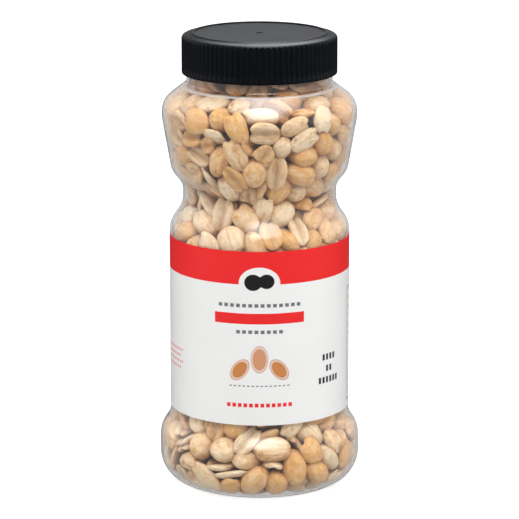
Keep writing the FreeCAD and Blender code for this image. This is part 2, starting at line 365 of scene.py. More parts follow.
def smooth(mesh, crease=None):
    """Smooth shading, with edges sharper than the crease angle kept crisp."""
    for face in mesh.faces:
        face.smooth = True
    if crease is None:
        return
    for edge in mesh.edges:
        edge.smooth = len(edge.link_faces) == 2 and edge.calc_face_angle(0) < crease


def half_section(names, turn=0.0):
    """The outline that the half plane beside the axis cuts from these nodes."""
    cut = bmesh.new()
    for name in names:
        cut.from_mesh(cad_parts[name].data)
    bmesh.ops.remove_doubles(cut, verts=cut.verts, dist=WELD)
    spun = Matrix.Rotation(turn, 3, "Z")
    bmesh.ops.rotate(cut, cent=(0, 0, 0), matrix=spun, verts=cut.verts)
    bmesh.ops.bisect_plane(
        cut, geom=cut.verts[:] + cut.edges[:] + cut.faces[:], dist=WELD, plane_co=(0, 0, 0),
        plane_no=(0, 1, 0), clear_inner=True, clear_outer=True,
    )
    bmesh.ops.bisect_plane(
        cut, geom=cut.verts[:] + cut.edges[:], dist=WELD, plane_co=(0, 0, 0),
        plane_no=(1, 0, 0), clear_inner=True,
    )
    bmesh.ops.remove_doubles(cut, verts=cut.verts, dist=2 * WELD)
    for vert in cut.verts:
        vert.co.y = 0
        if vert.co.x < 4 * WELD:
            vert.co.x = 0
    return cut


def tidy_outline(cut):
    """Drops the points that lie in a straight run."""
    bmesh.ops.dissolve_limit(cut, angle_limit=STRAIGHT, verts=cut.verts, edges=cut.edges)


def spin_round(outline, steps):
    """Turns the outline once round the axis into a closed skin that faces outwards."""
    bmesh.ops.spin(
        outline, geom=outline.verts[:] + outline.edges[:], cent=(0, 0, 0), axis=(0, 0, 1),
        angle=FULL_TURN, steps=steps, use_merge=True, use_duplicate=False,
    )
    bmesh.ops.remove_doubles(outline, verts=outline.verts, dist=WELD)
    bmesh.ops.dissolve_degenerate(outline, dist=WELD, edges=outline.edges)
    bmesh.ops.recalc_face_normals(outline, faces=outline.faces)
    return outline


def jar_outline():
    """The jar and its neck as one wall, without the seam between them."""
    outline = half_section(("jar", "neck"))
    seam = NECK_LOW.z
    crossing = [
        edge for edge in outline.edges
        if all(abs(vert.co.z - seam) < 10 * WELD for vert in edge.verts)
    ]
    bmesh.ops.delete(outline, geom=crossing, context="EDGES")
    loose = [vert for vert in outline.verts if not vert.link_edges]
    bmesh.ops.delete(outline, geom=loose, context="VERTS")
    tidy_outline(outline)
    return outline


# ---- Jar ------------------------------------------------------------------


def clear_plastic(jar):
    """Clear, slightly hazy plastic; lamps shine through it onto the nuts."""
    made, tree = new_material("Clear blown plastic")
    place = tree.place()
    ripple = tree.noise(place, 38.0, detail=1.0)
    uneven = tree.bump(ripple, 0.10, 0.0012)
    plastic = tree.principled({
        "Base Color": opaque(jar.tint), "Roughness": jar.gloss, "IOR": jar.refraction,
        "Transmission Weight": 1.0, "Normal": uneven,
    })
    film = tree.add("ShaderNodeBsdfDiffuse", None, {"Color": opaque(jar.haze_colour)})
    facing = tree.add("ShaderNodeLayerWeight", None, {"Blend": 0.5}, output=1)
    _, _, height = tree.parts(place)
    ring = 1.0 - abs(height - jar.ring).ramp(0.1 * MM, 0.45 * MM)
    veil = (facing ** 2.6).most(ring) * jar.haze
    plastic = tree.either(veil, plastic, film)
    through = tree.add("ShaderNodeBsdfTransparent", None, {"Color": opaque(jar.tint)})
    shadow, bounced = tree.rays("Shadow", "Diffuse")
    tree.surface(tree.either(shadow.most(bounced), plastic, through))
    return made


class MakeJar(bpy.types.Operator):
    """The blown wall and its neck as one clear shell"""

    bl_idname = "peanut_jar.make_jar"
    bl_label = "Jar"

    def execute(self, context):
        wall = spin_round(jar_outline(), ROUND_STEPS)
        smooth(wall, JAR_CREASE)
        material = clear_plastic(context.scene.peanut_jar)
        finish_piece("jar_wall", wall, material, ("jar", "neck"))
        return {"FINISHED"}


# ---- Cap ------------------------------------------------------------------


def groove_depth(cap, angle):
    """How far a groove cuts in from the skirt at this angle."""
    radius = CAP_HIGH.x
    pitch = FULL_TURN / cap.ribs
    off = (angle + pitch / 2) % pitch - pitch / 2
    across = off * radius
    reach = cap.groove**2 - across**2
    if reach <= 0:
        return 0.0
    return max(0.0, math.sqrt(reach) - (cap.groove - cap.rib_depth))


def satin_black(cap):
    """Moulded black plastic with a fine matt skin."""
    made, tree = new_material("Satin black plastic")
    place = tree.place()
    grain = tree.noise(place, 2600.0, detail=2.0)
    clouds = tree.noise(place, 90.0, detail=3.0)
    rough = cap.gloss + (clouds - 0.5) * 0.16
    beyond = (tree.from_axis() - cap.ridge).most(0.0)
    fall = tree.bump(-beyond, 1.0, 0.16)
    skin = tree.bump(grain, 0.25, 0.00006, under=fall)
    tone = tree.mix(clouds, toned(cap.black, 0.85), toned(cap.black, 1.2))
    tree.surface(tree.principled({
        "Base Color": tone, "Roughness": rough, "Specular IOR Level": cap.shine, "Normal": skin,
    }))
    return made


class MakeCap(bpy.types.Operator):
    """The screw cap: a turned form with a scooped groove between every two ribs"""

    bl_idname = "peanut_jar.make_cap"
    bl_label = "Cap"

    def execute(self, context):
        cap = context.scene.peanut_cap
        outline = half_section(("cap",), turn=math.pi / cap.ribs)
        tidy_outline(outline)
        rows = [edge for edge in outline.edges if self.is_skirt(edge)]
        bmesh.ops.subdivide_edges(outline, edges=rows, cuts=SKIRT_CUTS)
        form = spin_round(outline, cap.ribs * STEPS_PER_RIB)
        foot = CAP_LOW.z + cap.band
        deepest = CAP_HIGH.x - cap.rib_depth - 0.2 * MM
        for vert in form.verts:
            radius = math.hypot(vert.co.x, vert.co.y)
            if vert.co.z < foot or radius < deepest:
                continue
            limit = CAP_HIGH.x - groove_depth(cap, math.atan2(vert.co.y, vert.co.x))
            if radius > limit:
                vert.co.x *= limit / radius
                vert.co.y *= limit / radius
        smooth(form, CAP_CREASE)
        finish_piece("cap_skin", form, satin_black(cap), ("cap",))
        return {"FINISHED"}

    def is_skirt(self, edge):
        """The long upright run of the skirt's outside."""
        low, high = sorted(vert.co.z for vert in edge.verts)
        outside = min(vert.co.x for vert in edge.verts) > CAP_HIGH.x - 0.05 * MM
        return outside and high - low > 5 * MM


# ---- Label ----------------------------------------------------------------


class Print:
    """Marks on the sleeve; across and up are millimetres from the front and from the floor."""

    # How wide the soft edge of a mark is, in millimetres
    SOFT = 0.14

    def __init__(self, tree, radius):
        self.tree = tree
        x, y, z = tree.parts(tree.place())
        turn = tree.add("ShaderNodeMath", {"operation": "ARCTAN2"}, {0: x, 1: -y})
        self.across = turn * (radius / MM)
        self.up = z / MM
        self.shade = None

    def edge(self, beyond):
        """1 inside an outline, 0 outside, from the distance beyond it."""
        return (0.5 - beyond / self.SOFT).clamped()

    def strip(self, value, middle, size):
        """1 where the value is within half a size of the middle."""
        return self.edge(abs(value - middle) - size / 2)

    def off_middle(self, value, pitch):
        """How far the value is from the middle of its cell, in a row of equal cells."""
        return abs(value % pitch - pitch / 2)

    def bar(self, middle, height, width, thickness):
        """1 inside a plain block, 0 outside."""
        return self.strip(self.across, middle, width) * self.strip(self.up, height, thickness)

    def dashes(self, middle, height, width, thickness, pitch, filled):
        """A row of whole short strokes, about this wide."""
        pairs = max(1, round(width / pitch / 2))
        row = self.bar(middle, height, 2 * pairs * pitch, thickness)
        return row * self.edge(self.off_middle(self.across - middle, pitch) - filled * pitch / 2)

    def oval(self, middle, height, length, width, turn=0.0):
        """How far beyond an oval's outline, in millimetres, roughly."""
        sine, cosine = math.sin(turn), math.cos(turn)
        dx = self.across - middle
        dy = self.up - height
        along = (dx * cosine + dy * sine) / (length / 2)
        aside = (dy * cosine - dx * sine) / (width / 2)
        return ((along * along + aside * aside) ** 0.5 - 1.0) * (width / 2)

    def lay(self, mask, ink):
        """Prints the ink where the mask is 1."""
        self.shade = self.tree.mix(mask, self.shade, ink)


def printed_film(label):
    """White film with a red band and plain bars and ovals, no words and no picture."""
    made, tree = new_material("Printed film")
    sheet = Print(tree, LABEL_HIGH.x)
    band_foot = (LABEL_HIGH.z - label.band) / MM
    fibres = tree.noise(tree.place(), 60.0, detail=3.0)
    sheet.shade = tree.mix(fibres, toned(label.field, 0.97), toned(label.field, 1.03))
    sheet.lay(sheet.edge(band_foot - sheet.up), label.red)
    badge(sheet, band_foot, label)
    front_marks(sheet, label)
    side_marks(sheet, label)
    back_marks(sheet, label)
    waves = tree.noise(tree.place(), 22.0, detail=2.0)
    tree.surface(tree.principled({
        "Base Color": sheet.shade, "Roughness": label.gloss + (waves - 0.5) * 0.08,
        "IOR": 1.5, "Normal": tree.bump(waves, 0.18, 0.0006),
    }))
    return made


def badge(sheet, height, label):
    """A dark two-lobed shell on a pale round field that notches the band."""
    notch = sheet.oval(0.0, height + 0.6, 17.5, 13.6)
    sheet.lay(sheet.edge(notch), label.field)
    left = sheet.oval(-2.7, height + 0.9, 7.4, 7.0)
    right = sheet.oval(3.0, height + 1.3, 6.6, 6.2)
    waist = sheet.oval(0.1, height + 1.1, 6.0, 4.6)
    sheet.lay(sheet.edge(left.least(right).least(waist)), label.charcoal)


def front_marks(sheet, label):
    """Rows of strokes, a thick red bar and a fan of ovals down the front."""
    rows = (
        (85.9, 34.0, 1.5, 2.6, 0.62, label.grey),
        (74.5, 22.0, 1.5, 2.6, 0.62, label.grey),
        (51.0, 26.0, 0.5, 1.9, 0.55, label.grey),
        (42.6, 27.0, 1.7, 2.4, 0.66, label.red),
    )
    for height, width, thickness, pitch, filled, ink in rows:
        sheet.lay(sheet.dashes(0.0, height, width, thickness, pitch, filled), ink)
    sheet.lay(sheet.bar(middle=0.0, height=80.2, width=39.0, thickness=4.6), label.red)
    pale_tan = [0.9 * part + 0.1 for part in label.tan]
    ovals = (
        (-8.4, 58.0, 10.6, 6.6, 0.9, label.tan),
        (8.4, 58.0, 10.6, 6.6, -0.9, label.tan),
        (0.0, 62.6, 11.8, 7.4, math.pi / 2, pale_tan),
    )
    for middle, height, long, wide, turn, ink in ovals:
        beyond = sheet.oval(middle, height, long, wide, turn)
        sheet.lay(sheet.edge(beyond), ink)
        sheet.lay(sheet.edge(abs(beyond + 0.5) - 0.28) * 0.55, label.field)


def side_marks(sheet, label):
    """Dark stacked rows to the right and faint red rows to the left."""
    for height, width in ((60.6, 9.0), (55.6, 6.2), (50.6, 13.0)):
        sheet.lay(sheet.dashes(33.4, height, width, 2.7, 2.15, 0.6), label.charcoal)
    for step in range(4):
        row = sheet.dashes(-47.0, 62.0 - 2.6 * step, 16.0 - 3 * (step % 2), 0.9, 1.7, 0.6)
        sheet.lay(row * 0.75, label.red)


def ruled_frame(sheet, middle, thickness, ink):
    """Prints a thin frame and returns the rules of this thickness inside it."""
    outside = sheet.bar(middle, 62.0, 40.0, 50.0)
    inside = sheet.bar(middle, 62.0, 39.2, 49.2)
    sheet.lay(outside * (1.0 - inside), ink)
    rules = sheet.edge(sheet.off_middle(sheet.up, 4.0) - thickness / 2)
    return sheet.bar(middle, 61.6, 36.0, 44.0) * rules


def back_marks(sheet, label):
    """A frame of plain rules and a frame with rows of short strokes, round the back."""
    table = ruled_frame(sheet, 71.0, 0.32, label.charcoal)
    sheet.lay(table * 0.8, label.charcoal)
    rows = ruled_frame(sheet, -78.0, 1.0, label.grey)
    strokes = sheet.edge(sheet.off_middle(sheet.across + 0.3, 1.9) - 0.62)
    sheet.lay(rows * strokes * 0.8, label.grey)


class MakeLabel(bpy.types.Operator):
    """The printed sleeve round the panel"""

    bl_idname = "peanut_jar.make_label"
    bl_label = "Label"

    def execute(self, context):
        outline = half_section(("label",))
        tidy_outline(outline)
        sleeve = spin_round(outline, ROUND_STEPS)
        smooth(sleeve, JAR_CREASE)
        film = printed_film(context.scene.peanut_label)
        finish_piece("label_film", sleeve, film, ("label",))
        return {"FINISHED"}


# ---- Packing of the nuts --------------------------------------------------


def inner_wall():
    """(radius, height) points up the inside of the jar, from the axis to the mouth."""
    outline = jar_outline()
    on_axis = [vert for vert in outline.verts if vert.co.x == 0]
    here = max(on_axis, key=lambda vert: vert.co.z)
    points, seen = [], set()
    while here is not None:
        seen.add(here)
        points.append((here.co.x, here.co.z))
        if here.co.z > NECK_HIGH.z - WELD:
            break
        onward = [edge.other_vert(here) for edge in here.link_edges]
        onward = [vert for vert in onward if vert not in seen]
        here = onward[0] if onward else None
    outline.free()
    return np.array(points) / MM


def filled_in(points, step):
    """The same line with a point at least every step."""
    dense = [points[0]]
    for start, end in zip(points, points[1:]):
        count = max(1, int(np.linalg.norm(end - start) / step))
        dense += [start + (end - start) * part / count for part in range(1, count + 1)]
    return np.array(dense)


class Room:
    """The space inside the jar up to a ceiling; millimetres."""

    CELL = 1.0
    # How far the grid goes past the axis, out from it, under the floor and over the ceiling
    PAST_AXIS, REACH, UNDER, OVER = 2, 48, 4, 8
    # How far apart the points of the wall lie, to which the depth is measured
    WALL_STEP = 0.4

    def __init__(self, wall, ceiling):
        side = wall[wall[:, 1] < ceiling]
        side = np.vstack([side, [side[-1, 0], ceiling], [0, ceiling]])
        self.radii = np.arange(-self.PAST_AXIS, self.REACH, self.CELL)
        self.heights = np.arange(-self.UNDER, ceiling + self.OVER, self.CELL)
        grid = np.stack(np.meshgrid(self.radii, self.heights, indexing="ij"), -1)
        spots = grid.reshape(-1, 2).copy()
        spots[:, 0] = np.abs(spots[:, 0])
        near = filled_in(side, self.WALL_STEP)
        gap = np.sqrt(((spots[:, None] - near[None]) ** 2).sum(-1)).min(1)
        inside = np.zeros(len(spots), bool)
        closed = np.vstack([side, [0, side[0, 1]]])
        for start, end in zip(closed, np.roll(closed, -1, 0)):
            if start[1] == end[1]:
                continue
            crossed = (start[1] > spots[:, 1]) != (end[1] > spots[:, 1])
            at = (end[0] - start[0]) * (spots[:, 1] - start[1]) / (end[1] - start[1]) + start[0]
            inside ^= crossed & (spots[:, 0] < at)
        self.depth = np.where(inside, gap, -gap).reshape(grid.shape[:2])
        self.slope = np.gradient(self.depth, self.CELL)

    def look(self, places):
        """How deep inside each place is, and the way that leads deeper."""
        out = np.hypot(places[..., 0], places[..., 1])
        columns, rows = len(self.radii) - 1.001, len(self.heights) - 1.001
        across = np.clip((out - self.radii[0]) / self.CELL, 0, columns)
        up = np.clip((places[..., 2] - self.heights[0]) / self.CELL, 0, rows)
        column, row = across.astype(int), up.astype(int)
        right, above = across - column, up - row

        def blend(table):
            low = table[column, row] * (1 - right) + table[column + 1, row] * right
            high = table[column, row + 1] * (1 - right) + table[column + 1, row + 1] * right
            return low * (1 - above) + high * above

        depth, sideways, upward = (blend(table) for table in (self.depth, *self.slope))
        way = places[..., :2] / np.maximum(out, 1e-6)[..., None]
        inward = np.concatenate([way * sideways[..., None], upward[..., None]], -1)
        size = np.linalg.norm(inward, axis=-1, keepdims=True)
        return depth, inward / np.maximum(size, 1e-9)


def random_turns(chance, count):
    """Random rotation matrices."""
    spin = chance.standard_normal((count, 4))
    w, x, y, z = (spin / np.linalg.norm(spin, axis=1, keepdims=True)).T
    rows = [
        1 - 2 * (y * y + z * z), 2 * (x * y - w * z), 2 * (x * z + w * y),
        2 * (x * y + w * z), 1 - 2 * (x * x + z * z), 2 * (y * z - w * x),
        2 * (x * z - w * y), 2 * (y * z + w * x), 1 - 2 * (x * x + y * y),
    ]
    return np.stack(rows, 1).reshape(count, 3, 3)


def straightened(turns):
    """Makes slightly skewed rotation matrices square again."""
    first = turns[:, :, 0] / np.linalg.norm(turns[:, :, 0], axis=1, keepdims=True)
    second = turns[:, :, 1] - (turns[:, :, 1] * first).sum(1, keepdims=True) * first
    second /= np.linalg.norm(second, axis=1, keepdims=True)
    return np.stack([first, second, np.cross(first, second)], -1)


class Heap:
    """Ovals that grow and push each other apart until they fill the room; millimetres."""

    # First places: how many are drawn at once, how far out, how low and how far off the wall
    TRIES, WIDEST, LOWEST, CLEAR = 4000, 43, 2, 3
    # The share of its size that an oval starts at, the rest, and the share of the steps it takes
    START, GROWTH, GROWING = 0.55, 0.45, 0.6
    # Pairs nearer than this may touch, and they are looked up again after so many steps
    PAIR_REACH, PAIR_EVERY = 16.0, 10
    # The push outwards that keeps the heap against the wall
    PRESSURE = 0.05
    # How much of a push is followed, shared among the touches, and the most that one step may do
    EASE, MOST_EASE = 1.6, 0.8
    FARTHEST_MOVE, WIDEST_TURN = 1.5, 0.25
    DEEPEST_PAIR, DEEPEST_WALL = 3.0, 4

    def __init__(self, room, axes, wall_room, chance):
        self.room = room
        self.full = axes
        self.wall_room = wall_room
        places = np.empty((0, 3))
        low = (-self.WIDEST, -self.WIDEST, self.LOWEST)
        high = (self.WIDEST, self.WIDEST, room.heights[-1] - room.OVER)
        while len(places) < len(axes):
            tries = chance.uniform(low, high, (self.TRIES, 3))
            places = np.vstack([places, tries[room.look(tries)[0] > self.CLEAR]])
        self.places = places[: len(axes)]
        self.turns = random_turns(chance, len(axes))

    def settle(self, steps):
        """Grows the ovals to full size, then goes on pushing until the steps run out."""
        for step in range(steps):
            growth = min(1.0, self.START + self.GROWTH * step / (steps * self.GROWING))
            if step % self.PAIR_EVERY == 0:
                apart = ((self.places[:, None] - self.places[None]) ** 2).sum(-1)
                self.pairs = np.nonzero(np.triu(apart < self.PAIR_REACH**2, 1))
            self.push(self.full * growth)

    def push(self, axes):
        """One step: every overlap and the wall move and turn the ovals a little."""
        count = len(axes)
        self.shift = np.zeros((count, 3))
        self.twist = np.zeros((count, 3))
        self.touches = np.zeros(count)
        self.inertia = (axes**2).sum(1) / 5
        forms = np.einsum("nij,nj,nkj->nik", self.turns, axes * axes, self.turns)
        self.push_pairs(forms)
        self.push_walls(axes, forms)
        calm = np.minimum(self.EASE / np.maximum(self.touches, 1), self.MOST_EASE)[:, None]
        outward = -self.room.look(self.places)[1]
        move = (self.shift * calm).clip(-self.FARTHEST_MOVE, self.FARTHEST_MOVE)
        self.places += move + self.PRESSURE * outward
        twist = self.twist * calm
        size = np.linalg.norm(twist, axis=1, keepdims=True)
        twist *= np.minimum(1, self.WIDEST_TURN / np.maximum(size, 1e-9))
        turned = np.stack([np.cross(twist, self.turns[:, :, axis]) for axis in range(3)], -1)
        self.turns = straightened(self.turns + turned)

    def push_pairs(self, forms):
        """Pushes two overlapping ovals apart at the point where they meet."""
        first, second = self.pairs
        between = self.places[second] - self.places[first]
        facing = np.linalg.solve(forms[first] + forms[second], between[..., None])[..., 0]
        nearness = 0.5 * (between * facing).sum(-1)
        hit = nearness < 1
        first, second = first[hit], second[hit]
        between, facing, nearness = between[hit], facing[hit], nearness[hit]
        normal = facing / np.linalg.norm(facing, axis=1, keepdims=True)
        spare = 1 / np.sqrt(np.maximum(nearness, 1e-4)) - 1
        depth = np.minimum(spare * (between * normal).sum(-1), self.DEEPEST_PAIR)
        arms = []
        for nuts, way in ((first, normal), (second, -normal)):
            reach = np.einsum("nij,nj->ni", forms[nuts], way)
            arms.append(reach / np.sqrt((way * reach).sum(-1))[:, None])
        levers = np.cross(arms[0], normal), np.cross(arms[1], -normal)
        weight = 2 + sum(
            (lever**2).sum(1) / self.inertia[nuts] for lever, nuts in zip(levers, (first, second))
        )
        force = depth / weight
        for nuts, lever, sign in ((first, levers[0], -1), (second, levers[1], 1)):
            np.add.at(self.shift, nuts, sign * force[:, None] * normal)
            np.add.at(self.twist, nuts, -(force / self.inertia[nuts])[:, None] * lever)
            np.add.at(self.touches, nuts, 1)

    def push_walls(self, axes, forms):
        """Pushes an oval's middle and its two blunt ends back inside the wall."""
        ends = axes.copy()
        ends[:, 0] = axes[:, 1]
        tips = np.einsum("nij,nj,nkj->nik", self.turns, ends * ends, self.turns)
        for side, shapes in ((-1, tips), (0, forms), (1, tips)):
            off = self.turns[:, :, 0] * (side * (axes[:, 0] - axes[:, 1]))[:, None]
            depth, inward = self.room.look(self.places + off)
            reach = np.einsum("nij,nj->ni", shapes, inward)
            size = np.sqrt((inward * reach).sum(-1))
            short = size + self.wall_room - depth
            nuts = np.nonzero(short > 0)[0]
            if not len(nuts):
                continue
            arm = off[nuts] - reach[nuts] / size[nuts][:, None]
            lever = np.cross(arm, inward[nuts])
            weight = 1 + (lever**2).sum(1) / self.inertia[nuts]
            force = short[nuts].clip(max=self.DEEPEST_WALL) / weight
            np.add.at(self.shift, nuts, force[:, None] * inward[nuts])
            np.add.at(self.twist, nuts, (force / self.inertia[nuts])[:, None] * lever)
            np.add.at(self.touches, nuts, 1)


# ---- Nuts -----------------------------------------------------------------

# Half the length, width and thickness of a broken bit, in millimetres
BIT_AXES = (4.3, 4.3, 2.4)
# How thick a whole is for its width, and how far sizes vary: by what share, and the most of it
WHOLE_FLATNESS = 0.95
SIZE_SPREAD, MOST_SPREAD = 0.09, 2
# The finishing subdivision draws a shape in, and these make up for it
WHOLE_SWELL = 1.11
HALF_SWELL = (1.08, 1.10, 1.08)
# How far a point stays off the wall, as a share of the wall room
LEAST_ROOM = 0.6
# Painted shade: points are darkened from this far behind the wall, and up the neck under the cap;
# millimetres
SHADE_FROM, SHADE_REACH = 0.9, 5.5
NECK_SHADE_FOOT, NECK_SHADE_REACH, NECK_SHADE = 168.0, 8.0, 0.7
# The core's rows, the steps of their radii and its tips, in millimetres, and its lumps as a share
CORE_ROW, CORE_GRID, CORE_TIP, CORE_LUMP = 3.0, 0.5, 0.5, 0.05


def divided_block(along, across, up):
    """A cube from -1 to 1 with its sides divided into rows."""
    block = bmesh.new()
    bmesh.ops.create_cube(block, size=2)
    for axis, cuts in enumerate((along, across, up)):
        rows = [
            edge for edge in block.edges
            if abs(edge.verts[0].co[axis] - edge.verts[1].co[axis]) > 1.9
        ]
        if cuts:
            bmesh.ops.subdivide_edges(block, edges=rows, cuts=cuts, use_grid_fill=True)
    return block


def corners(mesh):
    """The places of a mesh's points, one row each."""
    return np.array([vert.co for vert in mesh.verts])


def move_corners(mesh, places):
    """Puts the mesh's points at these places."""
    for vert, place in zip(mesh.verts, places):
        vert.co = place


def to_disc(x, y):
    """Bends a square's corners in to a circle."""
    return x * np.sqrt(1 - y * y / 2), y * np.sqrt(1 - x * x / 2)


def to_ball(value, second, third):
    """Bends one coordinate of a cube's points in to a ball."""
    across, up = second * second, third * third
    return value * np.sqrt(1 - across / 2 - up / 2 + across * up / 3)


def whole_kernel():
    """A blunt oval with a small germ tip at one end."""
    block = divided_block(3, 2, 2)
    x, y, z = corners(block).T
    round_x, round_y, round_z = to_ball(x, y, z), to_ball(y, x, z), to_ball(z, y, x)
    blunt = 1.04 - 0.12 * round_x
    tip = np.clip((round_x - 0.85) / 0.15, 0, 1)
    places = np.stack([round_x + 0.07 * tip, round_y * blunt, round_z * blunt], 1)
    move_corners(block, places * WHOLE_SWELL)
    return block


def split_half():
    """A half kernel: a round back, and a flat face with a groove between two lobes."""
    block = divided_block(3, 3, 0)
    x, y, z = corners(block).T
    flat_x, flat_y = to_disc(x, y)
    out = np.hypot(flat_x, flat_y)
    face = z > 0
    groove = np.exp(-((y / 0.3) ** 2)) * np.clip((1.2 - np.abs(x)) / 0.35, 0, 1)
    lobe = np.exp(-(((np.abs(y) - 0.5) / 0.3) ** 2)) * (1 - 0.6 * x * x)
    top = 0.26 - 0.42 * groove + 0.34 * lobe
    back = 0.05 - np.sqrt(np.clip(1 - (0.93 * out) ** 2, 0, 1))
    notch = (x > 0.9) * (np.abs(y) < 0.1) * 0.36
    lobes = (x > 0.9) * (np.abs(np.abs(y) - 0.5) < 0.1) * 0.12
    spread = np.where(face, 1.0, 1.03)
    long = (flat_x - notch + lobes) * spread
    places = np.stack([long, flat_y * spread, np.where(face, top, back)], 1)
    move_corners(block, places * HALF_SWELL)
    return block


def broken_bit():
    """A half that broke across, with a slanting end."""
    block = split_half()
    places = corners(block)
    end = 0.28 + 0.22 * places[:, 1] - 0.12 * places[:, 2]
    places[:, 0] = np.minimum(places[:, 0], end)
    places[:, 0] = (places[:, 0] + 0.36) / 0.7
    move_corners(block, places)
    return block


def varied(shape, count, chance):
    """Copies of a shape's points, each bent, tapered and dented a little."""
    x, y, z = (np.repeat(axis[None], count, 0) for axis in shape.T)
    bend, taper, lean, wave, phase = chance.uniform(-1, 1, (5, count, 1))
    width = 1 + 0.09 * taper * x
    y = y * width + 0.10 * bend * (x * x - 0.4)
    z = z * width + 0.05 * lean * x
    dent = 1 + 0.08 * wave * np.sin(3.1 * x + 2 * y + 3 * phase)
    ripple = 0.045 * np.sin(4.4 * y + 4 * z + 6 * phase)
    dent += ripple + 0.04 * np.sin(5.2 * x - 3 * z + 9 * phase)
    return np.stack([x * dent, y * dent, z * dent], -1)


def copies(template, count):
    """The same mesh again and again in one mesh."""
    single = bpy.data.meshes.new("template")
    template.to_mesh(single)
    template.free()
    many = bmesh.new()
    for _ in range(count):
        many.from_mesh(single)
    joined = bpy.data.meshes.new("nuts")
    many.to_mesh(joined)
    many.free()
    bpy.data.meshes.remove(single)
    return joined


def keep_at_points(mesh, name, values):
    """Stores a number or a vector at every point of the mesh, for its material."""
    kind, field = ("FLOAT_VECTOR", "vector") if values.ndim == 3 else ("FLOAT", "value")
    mesh.attributes.new(name, kind, "POINT").data.foreach_set(field, values.ravel())


def scatter_nuts(name, template, heap, chosen, material, chance):
    """Lays a copy of the template at every chosen place, clear of the wall, as one piece."""
    room, places = heap.room, heap.places[chosen]
    shape = corners(template)
    local = varied(shape, len(places), chance) * heap.full[chosen][:, None]
    mesh = copies(template, len(places))
    spots = np.einsum("nij,nvj->nvi", heap.turns[chosen], local) + places[:, None]
    for _ in range(2):
        depth, inward = room.look(spots)
        spots += inward * np.maximum(LEAST_ROOM * heap.wall_room - depth, 0)[..., None]
    mesh.vertices.foreach_set("co", (spots * MM).ravel())
    # Painted shade: nuts darken the further they lie behind the wall and the higher they sit in
    # the neck under the cap
    shade_behind_wall = (room.look(spots)[0] - SHADE_FROM) / SHADE_REACH
    shade_up_neck = ((spots[..., 2] - NECK_SHADE_FOOT) / NECK_SHADE_REACH).clip(0, NECK_SHADE)
    tints = np.repeat(chance.uniform(0, 1, (len(places), 1, 3)), len(shape), 1)
    keep_at_points(mesh, "kernel", np.repeat(shape[None], len(places), 0))
    keep_at_points(mesh, "painted_shade", (shade_behind_wall + shade_up_neck).clip(0, 1))
    keep_at_points(mesh, "roast", tints)
    for face in mesh.polygons:
        face.use_smooth = True
    mesh.update()
    piece = finish_piece(name, mesh, material, ("peanuts",))
    finer = piece.modifiers.new("Finer", "SUBSURF")
    finer.levels = finer.render_levels = 1


def roasted(nuts, name, seam=False, relief=0.7):
    """Dry roasted nut flesh: cream to golden, darker in its seam and spots, with painted shade in
    a half's groove, behind the wall and up the neck.
    """
    made, tree = new_material(name)
    own = tree.attribute("kernel", 1)
    drawn = tree.attribute("roast", 1)
    painted_shade = tree.attribute("painted_shade", 2)
    x, y, z = tree.parts(own)
    roast, spots, shift = tree.parts(drawn)
    apart = tree.vector("SCALE", {0: drawn, 3: 40.0})
    moved = tree.vector("ADD", {0: own, 1: apart})
    stretched = tree.vector("MULTIPLY_ADD", {0: own, 1: (1.2, 5.0, 5.0), 2: apart})
    patches = tree.noise(moved, 1.7, detail=3.0, roughness=0.6)
    streaks = tree.noise(stretched, 1.3, detail=3.0, roughness=0.6)
    fine = tree.noise(tree.place(), 1100.0, detail=3.0, roughness=0.65)
    warmth = (roast.ramp(0.0, 0.95) + (patches - 0.5) * 1.9).clamped()
    flesh = tree.mix(warmth, nuts.cream, nuts.golden)
    browned = ((patches - 0.55) * 7.0 * spots).clamped() * 0.65
    flesh = tree.mix(browned, flesh, nuts.toasted)
    flesh = tree.mix(fine.ramp(0.55, 0.75) * 0.14, flesh, nuts.toasted)
    if seam:
        line = 1.0 - abs(y + 0.12 * (streaks - 0.5)).ramp(0.015, 0.08)
        flesh = tree.mix(line * 0.3, flesh, nuts.toasted)
        germ = (x - 0.02 * shift).ramp(0.92, 1.06)
        flesh = tree.mix(germ * 0.6, flesh, nuts.toasted)
    else:
        # Painted shade: the groove down a half's flat face is darkened
        groove_shade = (1.0 - abs(y).ramp(0.0, 0.2)) * z.ramp(-0.2, 0.05)
        flesh = tree.mix(groove_shade * 0.28, flesh, nuts.toasted)
    # Painted shade: the flesh darkens towards the crevice colour by the painted shade stored at
    # each point
    flesh = tree.mix(painted_shade ** 0.7 * 0.95, flesh, nuts.crevice_shade)
    wrinkles = patches * 1.5 + streaks * 0.10 + fine * 0.26
    tree.surface(tree.principled({
        "Base Color": flesh, "Roughness": nuts.gloss + (fine - 0.5) * 0.3, "IOR": 1.45,
        "Normal": tree.bump(wrinkles, relief, 0.0011),
    }))
    return made


def in_shadow(nuts):
    """Dark lumps that show in the gaps between the loose nuts; their colour is painted shade,
    darkest between the lumps.
    """
    made, tree = new_material("Nuts in shadow")
    inputs = {"Vector": tree.place(), "Scale": 95.0}
    cells = tree.add("ShaderNodeTexVoronoi", {"feature": "F1"}, inputs)
    # Painted shade: the tone darkens further away from each cell's middle, between the lumps
    tone = tree.mix(cells.ramp(0.3, 0.8), nuts.core, toned(nuts.core, 0.3))
    tree.surface(tree.principled({
        "Base Color": tone, "Roughness": 0.8, "Normal": tree.bump(-cells, 1.0, 0.003),
    }))
    return made


